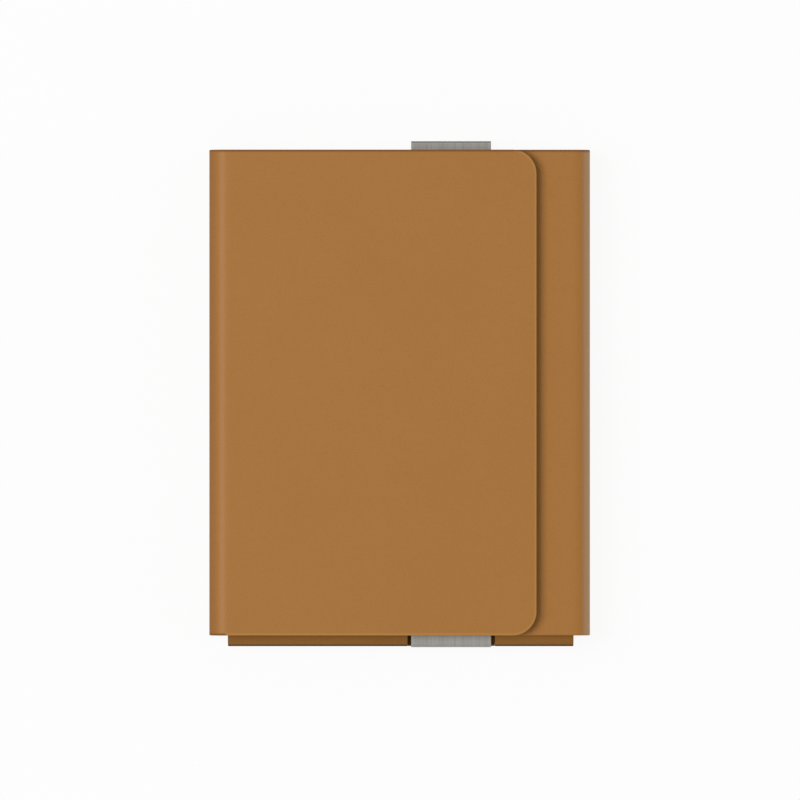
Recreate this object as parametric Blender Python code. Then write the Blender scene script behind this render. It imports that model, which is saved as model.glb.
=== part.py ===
"""A small card wallet.

A leather jacket folds round a gusseted card pocket. Its front flap opens to the left over two
folds of the left spine. Its right spine carries a cover that is bonded to the pocket's front.
An elastic strap runs down inside the pocket, turns at its bottom and comes out of its mouth as
a pull tab, so that pulling the tab lifts the cards.

The wallet lies on its back: +X is to its right, +Y towards the pocket's mouth, +Z out of its
front. The origin is on the floor, under the middle of the whole wallet.
"""
import math

import bmesh
import bpy
from mathutils import Vector

# The jacket: its outline from the front, and its left and right folds
WRAP_WIDTH = 0.0762
WRAP_HEIGHT = 0.0972
LEFT_FOLD_RADIUS = 0.0036
RIGHT_FOLD_RADIUS = 0.0032
FLAP_EDGE_INSET = 0.0107
FLAP_CORNER_RADIUS = 0.0048
COVER_LEFT_INSET = 0.0010

# The layers of a panel: outer skin, stiffening board and lining
SKIN_THICKNESS = 0.0006
BOARD_THICKNESS = 0.0006
LINING_THICKNESS = 0.0003
BOARD_INSET = 0.0012
LINING_INSET = 0.0004
EDGE_ROUND_SHARE = 0.35

# The film of glue or stitching between bonded layers, and the gap between pieces that touch
GLUE_LINE = 0.0001
TOUCH_GAP = 0.0003

# The card pocket
POCKET_LEFT_INSET = 0.0037
POCKET_RIGHT_INSET = 0.0033
POCKET_TOP_INSET = 0.0020
POCKET_BELOW_WRAP = 0.0022
POCKET_WALL = 0.0005
CARD_SPACE = 0.0044
GUSSET_DEPTH = 0.0045
GUSSET_WIDTH = 0.0007
GUSSET_TOP_INSET = 0.0010

# The elastic strap and its pull tab
STRAP_WIDTH = 0.0160
STRAP_OFFSET = 0.0103
STRAP_THICKNESS = 0.0006
STRAP_ABOVE_WRAP = 0.0016
STRAP_BELOW_WRAP = 0.0024
STRAP_NOTCH_MARGIN = 0.0007
STRAP_ANCHOR_INSET = 0.0015
TAB_LENGTH = 0.0070
TACK_LENGTH = 0.0120
TACK_WIDTH = 0.0012
TACK_THICKNESS = 0.00025
ANCHOR_TACK_INSET = 0.0005
TAB_TACK_RISE = 0.0020

# The magnets that hold the flap shut
MAGNET_RADIUS = 0.0050
MAGNET_FROM_FREE_EDGE = 0.0095
MAGNET_FROM_END = 0.0200

# How finely round shapes are divided
FOLD_STEPS = 8
CORNER_STEPS = 8
MAGNET_SIDES = 32
EDGE_SEGMENTS = 2

# Heights of the layers, from the back skin up to the front flap
BACK_SKIN_Z = 0
BACK_BOARD_Z = BACK_SKIN_Z + SKIN_THICKNESS + GLUE_LINE
BACK_LINING_Z = BACK_BOARD_Z + BOARD_THICKNESS + GLUE_LINE
POCKET_BACK_Z = BACK_LINING_Z + LINING_THICKNESS + GLUE_LINE
STRAP_BACK_Z = POCKET_BACK_Z + POCKET_WALL + TOUCH_GAP
CARD_SPACE_Z = STRAP_BACK_Z + STRAP_THICKNESS
STRAP_FRONT_Z = CARD_SPACE_Z + CARD_SPACE
POCKET_FRONT_Z = STRAP_FRONT_Z + STRAP_THICKNESS + TOUCH_GAP
COVER_BOARD_Z = POCKET_FRONT_Z + POCKET_WALL + GLUE_LINE
COVER_SKIN_Z = COVER_BOARD_Z + BOARD_THICKNESS + GLUE_LINE
COVER_TOP_Z = COVER_SKIN_Z + SKIN_THICKNESS
FLAP_LINING_Z = COVER_TOP_Z + TOUCH_GAP
FLAP_BOARD_Z = FLAP_LINING_Z + LINING_THICKNESS + GLUE_LINE
FLAP_SKIN_Z = FLAP_BOARD_Z + BOARD_THICKNESS + GLUE_LINE
FLAP_TOP_Z = FLAP_SKIN_Z + SKIN_THICKNESS

# The jacket's edges and the centres of its round folds
WRAP_LEFT = -WRAP_WIDTH / 2
WRAP_RIGHT = WRAP_WIDTH / 2
WRAP_CENTRE_Y = (STRAP_BELOW_WRAP - STRAP_ABOVE_WRAP) / 2
WRAP_TOP = WRAP_CENTRE_Y + WRAP_HEIGHT / 2
WRAP_BOTTOM = WRAP_CENTRE_Y - WRAP_HEIGHT / 2
LEFT_FOLD_X = WRAP_LEFT + LEFT_FOLD_RADIUS
RIGHT_FOLD_X = WRAP_RIGHT - RIGHT_FOLD_RADIUS
LOWER_FOLD_Z = LEFT_FOLD_RADIUS
UPPER_FOLD_Z = FLAP_TOP_Z - LEFT_FOLD_RADIUS
FLAP_EDGE_X = WRAP_RIGHT - FLAP_EDGE_INSET

# A quarter-round fold unrolls flat about a line inside its leather: this share of its radius
# outwards from where it starts, and the rest of its radius in from its outer face
UNROLL_SHARE = math.pi / 4
LEFT_HINGE_X = LEFT_FOLD_X - LEFT_FOLD_RADIUS * UNROLL_SHARE
LOWER_HINGE_Z = LEFT_FOLD_RADIUS - LEFT_FOLD_RADIUS * UNROLL_SHARE
UPPER_HINGE_Z = FLAP_TOP_Z - LOWER_HINGE_Z

# The pocket's edges; its bottom is a half-round fold between its two walls
POCKET_LEFT = WRAP_LEFT + POCKET_LEFT_INSET
POCKET_RIGHT = WRAP_RIGHT - POCKET_RIGHT_INSET
POCKET_TOP = WRAP_TOP - POCKET_TOP_INSET
POCKET_BOTTOM = WRAP_BOTTOM - POCKET_BELOW_WRAP
POCKET_DEPTH = POCKET_FRONT_Z + POCKET_WALL - POCKET_BACK_Z
POCKET_FOLD_Y = POCKET_BOTTOM + POCKET_DEPTH / 2

# The strap's edges; it turns round in a half circle at the bottom
STRAP_LEFT = STRAP_OFFSET - STRAP_WIDTH / 2
STRAP_RIGHT = STRAP_OFFSET + STRAP_WIDTH / 2
STRAP_TOP = WRAP_TOP + STRAP_ABOVE_WRAP
STRAP_BOTTOM = WRAP_BOTTOM - STRAP_BELOW_WRAP
STRAP_DEPTH = STRAP_FRONT_Z + STRAP_THICKNESS - STRAP_BACK_Z
STRAP_FOLD_Y = STRAP_BOTTOM + STRAP_DEPTH / 2
STRAP_ANCHOR_Y = POCKET_TOP - STRAP_ANCHOR_INSET
TAB_THICKNESS = STRAP_THICKNESS + GLUE_LINE + STRAP_THICKNESS
TAB_BOTTOM = STRAP_TOP - TAB_LENGTH
TACK_SPAN_X = (STRAP_OFFSET - TACK_LENGTH / 2, STRAP_OFFSET + TACK_LENGTH / 2)


def clear_scene():
    for old in list(bpy.data.objects):
        bpy.data.objects.remove(old, do_unlink=True)


def linear(channel):
    if channel <= 0.04045:
        return channel / 12.92
    return ((channel + 0.055) / 1.055) ** 2.4


def make_material(name, hex_colour, roughness, metallic=0.0):
    channels = [int(hex_colour[start:start + 2], 16) / 255 for start in (0, 2, 4)]
    material = bpy.data.materials.new(name)
    material.use_nodes = True
    shader = material.node_tree.nodes["Principled BSDF"]
    shader.inputs["Base Color"].default_value = [linear(c) for c in channels] + [1.0]
    shader.inputs["Roughness"].default_value = roughness
    shader.inputs["Metallic"].default_value = metallic
    return material


def world_point(pivot):
    point = pivot.location.copy()
    while pivot.parent:
        pivot = pivot.parent
        point += pivot.location
    return point


def make_pivot(name, point, parent=None):
    pivot = bpy.data.objects.new(name, None)
    bpy.context.collection.objects.link(pivot)
    pivot.location = Vector(point)
    if parent:
        pivot.parent = parent
        pivot.location = Vector(point) - world_point(parent)
    return pivot


def make_object(name, bm, material, parent, point):
    bmesh.ops.recalc_face_normals(bm, faces=bm.faces)
    mesh = bpy.data.meshes.new(name)
    bm.to_mesh(mesh)
    bm.free()
    mesh.materials.append(material)
    piece = bpy.data.objects.new(name, mesh)
    bpy.context.collection.objects.link(piece)
    piece.parent = parent
    piece.location = Vector(point) - world_point(parent)
    return piece


def prism(outline, along, length):
    """A closed prism: the outline at one end, drawn out by length in the direction along."""
    bm = bmesh.new()
    face = bm.faces.new([bm.verts.new(point) for point in outline])
    drawn = bmesh.ops.extrude_face_region(bm, geom=[face])
    moved = [item for item in drawn["geom"] if isinstance(item, bmesh.types.BMVert)]
    bmesh.ops.translate(bm, verts=moved, vec=Vector(along) * length)
    return bm


def arc(centre, radius, start, end, steps):
    """Points on an arc, from start to end in degrees, with both ends."""
    points = []
    for step in range(steps + 1):
        angle = math.radians(start + (end - start) * step / steps)
        points.append((centre[0] + radius * math.cos(angle), centre[1] + radius * math.sin(angle)))
    return points


def plate_outline(width, height, corner_radius):
    """A rectangle about the origin whose two right corners are rounded."""
    x = width / 2
    y = height / 2
    radius = min(corner_radius, x, y)
    if radius <= 0:
        return [(-x, -y), (x, -y), (x, y), (-x, y)]
    lower = arc((x - radius, radius - y), radius, -90, 0, CORNER_STEPS)
    upper = arc((x - radius, y - radius), radius, 0, 90, CORNER_STEPS)
    return [(-x, -y)] + lower + upper + [(-x, y)]


def plate(name, span_x, span_y, z, thickness, material, parent, corner_radius=0):
    outline = plate_outline(span_x[1] - span_x[0], span_y[1] - span_y[0], corner_radius)
    bm = prism([(x, y, 0) for x, y in outline], (0, 0, 1), thickness)
    centre = ((span_x[0] + span_x[1]) / 2, (span_y[0] + span_y[1]) / 2, z)
    return make_object(name, bm, material, parent, centre)


def soften_edges(piece, thickness):
    bevel = piece.modifiers.new("soft_edges", "BEVEL")
    bevel.width = thickness * EDGE_ROUND_SHARE
    bevel.segments = EDGE_SEGMENTS
    bevel.limit_method = "ANGLE"


def turned_profile(depth, wall):
    """A half-round fold seen from its end: a band of the wall's thickness round a half circle."""
    middle = (0, depth / 2)
    outer = arc(middle, depth / 2, -90, 90, FOLD_STEPS + FOLD_STEPS)
    inner = arc(middle, depth / 2 - wall, 90, -90, FOLD_STEPS + FOLD_STEPS)
    return outer + inner


def folded_spine_profile(radius, height, wall):
    """A spine with a rounded fold at its foot and head, seen from its end."""
    outer = arc((0, radius), radius, -90, 0, FOLD_STEPS)
    outer += arc((0, height - radius), radius, 0, 90, FOLD_STEPS)
    inner = arc((0, height - radius), radius - wall, 90, 0, FOLD_STEPS)
    inner += arc((0, radius), radius - wall, 0, -90, FOLD_STEPS)
    return outer + inner


def quarter_fold_profile(radius, wall, start, end):
    outer = arc((0, 0), radius, start, end, FOLD_STEPS)
    inner = arc((0, 0), radius - wall, end, start, FOLD_STEPS)
    return outer + inner


def strip_along_y(name, profile, foot, length, material, parent):
    """A strip that runs up the wallet; the profile is drawn in X and Z from the foot point."""
    bm = prism([(x, 0, z) for x, z in profile], (0, 1, 0), length)
    piece = make_object(name, bm, material, parent, foot)
    piece.data.set_sharp_from_angle(angle=math.radians(40))
    return piece


def strip_along_x(name, profile, foot, length, material, parent):
    """A strip that runs across the wallet; the profile is drawn in Y and Z from the foot point."""
    bm = prism([(0, y, z) for y, z in profile], (1, 0, 0), length)
    piece = make_object(name, bm, material, parent, foot)
    piece.data.set_sharp_from_angle(angle=math.radians(40))
    return piece


def magnet_places():
    """The two magnets lie near the flap's free edge, one towards each end."""
    x = FLAP_EDGE_X - MAGNET_FROM_FREE_EDGE
    return {"upper": (x, WRAP_TOP - MAGNET_FROM_END), "lower": (x, WRAP_BOTTOM + MAGNET_FROM_END)}


def disc(bm, centre, radius, thickness):
    made = bmesh.ops.create_cone(
        bm, cap_ends=True, segments=MAGNET_SIDES, radius1=radius, radius2=radius, depth=thickness)
    bmesh.ops.translate(bm, verts=made["verts"], vec=centre)


def cut_magnet_holes(board, parent):
    """Holes through a stiffening board, one for each magnet."""
    bm = bmesh.new()
    for x, y in magnet_places().values():
        disc(bm, (x, y, 0), MAGNET_RADIUS + TOUCH_GAP, BOARD_THICKNESS + TOUCH_GAP + TOUCH_GAP)
    middle = (0, 0, world_point(board).z + BOARD_THICKNESS / 2)
    cutter = make_object(board.name + "_hole_cutter", bm, board.data.materials[0], parent, middle)
    cutter.hide_render = True
    cutter.display_type = "WIRE"
    cut = board.modifiers.new("magnet_holes", "BOOLEAN")
    cut.operation = "DIFFERENCE"
    cut.object = cutter


def make_magnets(owner, z, material, parent):
    for place, (x, y) in magnet_places().items():
        bm = bmesh.new()
        disc(bm, (0, 0, 0), MAGNET_RADIUS, BOARD_THICKNESS)
        centre = (x, y, z + BOARD_THICKNESS / 2)
        magnet = make_object(f"{owner}_magnet_{place}", bm, material, parent, centre)
        magnet.data.set_sharp_from_angle(angle=math.radians(40))


def inset(span, amount):
    return (span[0] + amount, span[1] - amount)


def make_back_panel(paints, pivot):
    """The back of the jacket: skin, board and lining between the two spines."""
    span_x = (LEFT_FOLD_X + TOUCH_GAP, RIGHT_FOLD_X - TOUCH_GAP)
    span_y = (WRAP_BOTTOM, WRAP_TOP)
    skin = plate("back_skin", span_x, span_y, BACK_SKIN_Z, SKIN_THICKNESS, paints["leather"], pivot)
    soften_edges(skin, SKIN_THICKNESS)
    plate("back_board", inset(span_x, BOARD_INSET), inset(span_y, BOARD_INSET),
          BACK_BOARD_Z, BOARD_THICKNESS, paints["board"], pivot)
    plate("back_lining", inset(span_x, LINING_INSET), inset(span_y, LINING_INSET),
          BACK_LINING_Z, LINING_THICKNESS, paints["lining"], pivot)


def make_right_spine(paints, pivot):
    """The right spine, which bends from the back panel round to the inner cover."""
    profile = folded_spine_profile(RIGHT_FOLD_RADIUS, COVER_TOP_Z, SKIN_THICKNESS)
    strip_along_y("right_spine_skin", profile, (RIGHT_FOLD_X, WRAP_BOTTOM, 0),
                  WRAP_HEIGHT, paints["leather"], pivot)
    layer = SKIN_THICKNESS + GLUE_LINE
    profile = folded_spine_profile(RIGHT_FOLD_RADIUS - layer, COVER_TOP_Z - layer - layer, LINING_THICKNESS)
    strip_along_y("right_spine_lining", profile, (RIGHT_FOLD_X, WRAP_BOTTOM + LINING_INSET, layer),
                  WRAP_HEIGHT - LINING_INSET - LINING_INSET, paints["lining"], pivot)


def make_left_folds(paints, back_pivot, spine_pivot):
    """The two folds of the left spine, each skin and lining bonded to one band."""
    wall = SKIN_THICKNESS + GLUE_LINE + LINING_THICKNESS
    lower = quarter_fold_profile(LEFT_FOLD_RADIUS, wall, 180, 270)
    strip_along_y("left_fold_lower", lower, (LEFT_FOLD_X, WRAP_BOTTOM, LOWER_FOLD_Z),
                  WRAP_HEIGHT, paints["leather"], back_pivot)
    upper = quarter_fold_profile(LEFT_FOLD_RADIUS, wall, 90, 180)
    strip_along_y("left_fold_upper", upper, (LEFT_FOLD_X, WRAP_BOTTOM, UPPER_FOLD_Z),
                  WRAP_HEIGHT, paints["leather"], spine_pivot)


def make_left_spine(paints, pivot):
    """The flat of the left spine, between its two folds."""
    foot_z = LOWER_FOLD_Z + TOUCH_GAP
    height = UPPER_FOLD_Z - TOUCH_GAP - foot_z
    skin_x = (WRAP_LEFT, WRAP_LEFT + SKIN_THICKNESS)
    lining_x = (skin_x[1] + GLUE_LINE, skin_x[1] + GLUE_LINE + LINING_THICKNESS)
    plate("left_spine_skin", skin_x, (WRAP_BOTTOM, WRAP_TOP), foot_z, height, paints["leather"], pivot)
    plate("left_spine_lining", lining_x, inset((WRAP_BOTTOM, WRAP_TOP), LINING_INSET),
          foot_z, height, paints["lining"], pivot)


def make_front_flap(paints, pivot):
    """The front flap, with rounded corners at its free edge and two magnets in its board."""
    left = LEFT_FOLD_X + TOUCH_GAP
    span_x = (left, FLAP_EDGE_X)
    span_y = (WRAP_BOTTOM, WRAP_TOP)
    skin = plate("flap_skin", span_x, span_y, FLAP_SKIN_Z, SKIN_THICKNESS, paints["leather"], pivot,
                 FLAP_CORNER_RADIUS)
    soften_edges(skin, SKIN_THICKNESS)
    board = plate("flap_board", inset(span_x, BOARD_INSET), inset(span_y, BOARD_INSET),
                  FLAP_BOARD_Z, BOARD_THICKNESS, paints["board"], pivot, FLAP_CORNER_RADIUS - BOARD_INSET)
    cut_magnet_holes(board, pivot)
    plate("flap_lining", inset(span_x, LINING_INSET), inset(span_y, LINING_INSET),
          FLAP_LINING_Z, LINING_THICKNESS, paints["lining"], pivot, FLAP_CORNER_RADIUS - LINING_INSET)
    make_magnets("flap", FLAP_BOARD_Z, paints["magnet"], pivot)


def make_front_cover(paints, pivot):
    """The inner cover, bonded to the front wall of the pocket, with the partners of the magnets."""
    span_x = (POCKET_LEFT + COVER_LEFT_INSET, RIGHT_FOLD_X - TOUCH_GAP)
    span_y = (WRAP_BOTTOM, WRAP_TOP)
    skin = plate("cover_skin", span_x, span_y, COVER_SKIN_Z, SKIN_THICKNESS, paints["leather"], pivot)
    soften_edges(skin, SKIN_THICKNESS)
    board = plate("cover_board", inset(span_x, BOARD_INSET), inset(span_y, BOARD_INSET),
                  COVER_BOARD_Z, BOARD_THICKNESS, paints["board"], pivot)
    cut_magnet_holes(board, pivot)
    make_magnets("cover", COVER_BOARD_Z, paints["magnet"], pivot)


def gusset_profile(direction):
    """A side gusset seen from its end: a strip folded inwards once, halfway up."""
    foot = POCKET_BACK_Z + POCKET_WALL + TOUCH_GAP
    head = POCKET_FRONT_Z - TOUCH_GAP
    crease = (foot + head) / 2 - foot
    outer = [(0, 0), (GUSSET_DEPTH, crease), (0, head - foot)]
    inner = [(x + GUSSET_WIDTH, z) for x, z in reversed(outer)]
    return [(direction * x, z) for x, z in outer + inner]


def make_pocket_walls(paints, back_pivot, cover_pivot):
    span_x = (POCKET_LEFT, POCKET_RIGHT)
    span_y = (POCKET_FOLD_Y + TOUCH_GAP, POCKET_TOP)
    plate("pocket_back_wall", span_x, span_y, POCKET_BACK_Z, POCKET_WALL, paints["pocket"], back_pivot)
    plate("pocket_front_wall", span_x, span_y, POCKET_FRONT_Z, POCKET_WALL, paints["pocket"], cover_pivot)


def make_gussets(paints, pivot):
    """The folded sides of the pocket, which open and close with its depth."""
    foot_y = POCKET_FOLD_Y + TOUCH_GAP
    length = POCKET_TOP - GUSSET_TOP_INSET - foot_y
    foot_z = POCKET_BACK_Z + POCKET_WALL + TOUCH_GAP
    for side, x, direction in (("left", POCKET_LEFT, 1), ("right", POCKET_RIGHT, -1)):
        strip_along_y(f"pocket_gusset_{side}", gusset_profile(direction), (x, foot_y, foot_z),
                      length, paints["pocket"], pivot)


def make_pocket_bottom(paints, pivot):
    """The half-round bottom fold, in two lengths with the strap's notch between them."""
    profile = [(-y, z) for y, z in turned_profile(POCKET_DEPTH, POCKET_WALL)]
    notch_left = STRAP_LEFT - STRAP_NOTCH_MARGIN
    notch_right = STRAP_RIGHT + STRAP_NOTCH_MARGIN
    for side, start, end in (("left", POCKET_LEFT, notch_left), ("right", notch_right, POCKET_RIGHT)):
        strip_along_x(f"pocket_bottom_{side}", profile, (start, POCKET_FOLD_Y, POCKET_BACK_Z),
                      end - start, paints["pocket"], pivot)


def make_strap(paints, cover_pivot, lift_pivot):
    """The strap: sewn to the front wall at its top, down, round the bottom and up the back."""
    span_x = (STRAP_LEFT, STRAP_RIGHT)
    foot_y = STRAP_FOLD_Y + TOUCH_GAP
    plate("strap_front_run", span_x, (foot_y, STRAP_ANCHOR_Y), STRAP_FRONT_Z, STRAP_THICKNESS,
          paints["elastic"], cover_pivot)
    plate("strap_back_run", span_x, (foot_y, TAB_BOTTOM - TOUCH_GAP), STRAP_BACK_Z, STRAP_THICKNESS,
          paints["elastic"], lift_pivot)
    profile = [(-y, z) for y, z in turned_profile(STRAP_DEPTH, STRAP_THICKNESS)]
    strip_along_x("strap_bend", profile, (STRAP_LEFT, STRAP_FOLD_Y, STRAP_BACK_Z),
                  STRAP_WIDTH, paints["elastic"], lift_pivot)
    tack_top = STRAP_ANCHOR_Y - ANCHOR_TACK_INSET
    plate("strap_anchor_tack", TACK_SPAN_X, (tack_top - TACK_WIDTH, tack_top),
          STRAP_FRONT_Z - GLUE_LINE - TACK_THICKNESS, TACK_THICKNESS, paints["thread"], cover_pivot)


def make_pull_tab(paints, pivot):
    """The strap's free end, folded over on itself and held by a bar of stitches."""
    crown = arc((TAB_LENGTH - TAB_THICKNESS / 2, TAB_THICKNESS / 2), TAB_THICKNESS / 2, -90, 90, FOLD_STEPS)
    profile = [(0, 0)] + crown + [(0, TAB_THICKNESS)]
    strip_along_x("pull_tab", profile, (STRAP_LEFT, TAB_BOTTOM, STRAP_BACK_Z),
                  STRAP_WIDTH, paints["elastic"], pivot)
    tack_foot = TAB_BOTTOM + TAB_TACK_RISE
    plate("pull_tab_tack", TACK_SPAN_X, (tack_foot, tack_foot + TACK_WIDTH),
          STRAP_BACK_Z + TAB_THICKNESS + GLUE_LINE, TACK_THICKNESS, paints["thread"], pivot)


def build_wallet():
    clear_scene()
    paints = {
        "leather": make_material("tan_leather", "A87335", 0.5),
        "lining": make_material("brown_lining", "5E4329", 0.9),
        "board": make_material("grey_board", "8C8577", 0.9),
        "pocket": make_material("dark_leather", "9A692E", 0.66),
        "elastic": make_material("grey_elastic", "B5B3AF", 0.85),
        "thread": make_material("grey_thread", "919392", 0.6),
        "magnet": make_material("nickel_magnet", "B9B7B0", 0.3, 1.0),
    }
    back_pivot = make_pivot("back_panel_origin", (0, 0, 0))
    lower_hinge = (LEFT_HINGE_X, WRAP_CENTRE_Y, LOWER_HINGE_Z)
    upper_hinge = (LEFT_HINGE_X, WRAP_CENTRE_Y, UPPER_HINGE_Z)
    spine_pivot = make_pivot("left_spine_pivot", lower_hinge, back_pivot)
    flap_pivot = make_pivot("front_flap_pivot", upper_hinge, spine_pivot)
    cover_pivot = make_pivot("front_cover_slide", (0, WRAP_CENTRE_Y, POCKET_FRONT_Z), back_pivot)
    lift_pivot = make_pivot("strap_lift_slide", (STRAP_OFFSET, STRAP_FOLD_Y, STRAP_BACK_Z), back_pivot)
    tab_pivot = make_pivot("pull_tab_slide", (STRAP_OFFSET, TAB_BOTTOM, STRAP_BACK_Z), lift_pivot)
    make_back_panel(paints, back_pivot)
    make_right_spine(paints, back_pivot)
    make_left_folds(paints, back_pivot, spine_pivot)
    make_left_spine(paints, spine_pivot)
    make_front_flap(paints, flap_pivot)
    make_front_cover(paints, cover_pivot)
    make_pocket_walls(paints, back_pivot, cover_pivot)
    make_gussets(paints, back_pivot)
    make_pocket_bottom(paints, back_pivot)
    make_strap(paints, cover_pivot, lift_pivot)
    make_pull_tab(paints, tab_pivot)
    bpy.context.view_layer.update()


build_wallet()
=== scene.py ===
"""The looks of the small card wallet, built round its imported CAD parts. Everything is in metres."""
from math import hypot, pi, radians

import bmesh
import bpy
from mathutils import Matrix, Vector


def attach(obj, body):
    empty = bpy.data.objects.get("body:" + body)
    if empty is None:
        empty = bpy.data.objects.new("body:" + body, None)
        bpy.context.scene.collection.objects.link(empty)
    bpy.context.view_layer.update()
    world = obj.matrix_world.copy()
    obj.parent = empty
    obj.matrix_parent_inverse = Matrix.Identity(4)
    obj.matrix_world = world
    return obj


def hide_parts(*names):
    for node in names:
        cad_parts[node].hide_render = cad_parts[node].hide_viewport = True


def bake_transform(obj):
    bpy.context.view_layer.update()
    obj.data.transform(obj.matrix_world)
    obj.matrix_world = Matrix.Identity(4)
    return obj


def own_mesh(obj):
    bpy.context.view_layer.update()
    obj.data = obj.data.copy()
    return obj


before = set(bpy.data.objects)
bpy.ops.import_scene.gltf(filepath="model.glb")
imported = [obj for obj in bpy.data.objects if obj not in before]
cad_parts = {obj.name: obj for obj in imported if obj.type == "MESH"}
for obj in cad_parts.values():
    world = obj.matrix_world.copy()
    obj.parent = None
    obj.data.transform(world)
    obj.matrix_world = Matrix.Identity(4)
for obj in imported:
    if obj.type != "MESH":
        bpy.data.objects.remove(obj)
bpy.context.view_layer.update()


# Back of the jacket
# A sheet of smooth tan calf leather glued over a stiffening board, its top and bottom edges turned
# over the board and pressed. At the left it bends up and becomes the lower half of the spine.

jacket_low_y = -0.0482
jacket_high_y = 0.0490
jacket_middle_y = 0.0004
jacket_left = -0.0381
left_fold_x = -0.0345
left_fold_radius = 0.0036
right_fold_x = 0.0349
leather_thick = 0.0006
mid_spine_z = 0.0062
board_left_x = -0.0336
board_right_x = 0.0340
turn_in = 0.0010
turn_in_rise = 0.00075
turn_in_slant = 0.0006
# the flats of the back have their middles within this of x = 0
flats_reach = 0.03
# in square metres: only flats larger than this get lines of points beside their rims
flat_area = 0.0001
rim_radius = 0.0002
rim_fade = 0.0004
side_fade = 0.00006
# width of the painted shade over the left spine's bends
spine_shade_wide = 0.0024
# what lies closer than this to an edge counts as on it
near = 0.0001


def put_all_down():
    """Leaves edit mode and deselects everything."""
    if bpy.context.mode != "OBJECT":
        bpy.ops.object.mode_set(mode="OBJECT")
    bpy.ops.object.select_all(action="DESELECT")


def settle(name, size=(1, 1, 1)):
    """Names the primitive just added, gives it its size and puts its place into its mesh."""
    piece = bpy.context.object
    piece.name = name
    piece.data.name = name
    piece.scale = size
    bpy.ops.object.transform_apply(location=True, rotation=True, scale=True)
    return piece


def lay_sheet(name, low, high, z):
    """A flat sheet added at its size and place, from its low corner to its high corner."""
    put_all_down()
    middle = ((low[0] + high[0]) / 2, (low[1] + high[1]) / 2, z)
    bpy.ops.mesh.primitive_plane_add(size=1, location=middle)
    return settle(name, (high[0] - low[0], high[1] - low[1], 1))


def pick(piece, kind, wanted):
    """In edit mode, selects the verts, edges or faces that answer wanted, and nothing else."""
    bpy.context.view_layer.objects.active = piece
    if bpy.context.mode != "EDIT_MESH":
        bpy.ops.object.mode_set(mode="EDIT")
    bpy.ops.mesh.select_mode(type=kind)
    bpy.ops.mesh.select_all(action="DESELECT")
    shape = bmesh.from_edit_mesh(piece.data)
    shape.normal_update()
    items = {"VERT": shape.verts, "EDGE": shape.edges, "FACE": shape.faces}[kind]
    for item in items:
        if wanted(item):
            item.select_set(True)
    bmesh.update_edit_mesh(piece.data)


def lies_at(**places):
    """A test for pick: all corners of the item lie at these places, to a hundredth of a millimetre."""
    def test(item):
        corners = [item] if isinstance(item, bmesh.types.BMVert) else item.verts
        return all(abs(getattr(v.co, axis) - place) < 1e-5 for v in corners for axis, place in places.items())
    return test


def centre(face):
    return face.calc_center_median()


def looks_up(face):
    return face.normal.z > 0.99


def pull_out(x=0, y=0, z=0):
    bpy.ops.mesh.extrude_region_move(TRANSFORM_OT_translate={"value": (x, y, z)})


def cut_across(piece, x=None, y=None):
    """Cuts a line of points right through the piece at one x or at one y."""
    pick(piece, "FACE", lambda face: True)
    if x is None:
        bpy.ops.mesh.bisect(plane_co=(0, y, 0), plane_no=(0, 1, 0))
    else:
        bpy.ops.mesh.bisect(plane_co=(x, 0, 0), plane_no=(1, 0, 0))


def turn_over():
    """Points every face of the piece in edit mode the other way."""
    bpy.ops.mesh.select_all(action="SELECT")
    bpy.ops.mesh.flip_normals()


def thicken(piece, amount, offset=-1):
    """Gives a sheet its thickness: inwards from its outer face, or to both sides for an offset of 0."""
    bpy.ops.object.mode_set(mode="OBJECT")
    wall = piece.modifiers.new("thickness", "SOLIDIFY")
    wall.thickness = amount
    wall.offset = offset
    wall.use_even_offset = True
    bpy.ops.object.modifier_apply(modifier=wall.name)


def smooth(piece, degrees=38):
    put_all_down()
    piece.select_set(True)
    bpy.context.view_layer.objects.active = piece
    bpy.ops.object.shade_smooth_by_angle(angle=radians(degrees))


def mark(piece, name, measure):
    """Writes a number on each vertex that the piece's material reads by name."""
    written = piece.data.attributes.new(name, "FLOAT", "POINT")
    for number, vertex in enumerate(piece.data.vertices):
        written.data[number].value = measure(vertex.co)


def colour(code):
    """An sRGB hex colour as the linear one that a shader takes."""
    shares = [int(code[start:start + 2], 16) / 255 for start in (1, 3, 5)]
    return [s / 12.92 if s <= 0.04045 else ((s + 0.055) / 1.055) ** 2.4 for s in shares] + [1.0]


def new_material(name):
    material = bpy.data.materials.new(name)
    material.use_nodes = True
    return material, material.node_tree, material.node_tree.nodes["Principled BSDF"]


def add_node(tree, kind, settings, links=()):
    """Adds a node. Settings and links are by the name of a property or socket, or a socket's number."""
    node = tree.nodes.new(kind)
    for name, value in settings.items():
        if isinstance(name, str) and hasattr(node, name):
            setattr(node, name, value)
        else:
            node.inputs[name].default_value = value
    for name, source in dict(links).items():
        tree.links.new(source, node.inputs[name])
    return node


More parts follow.
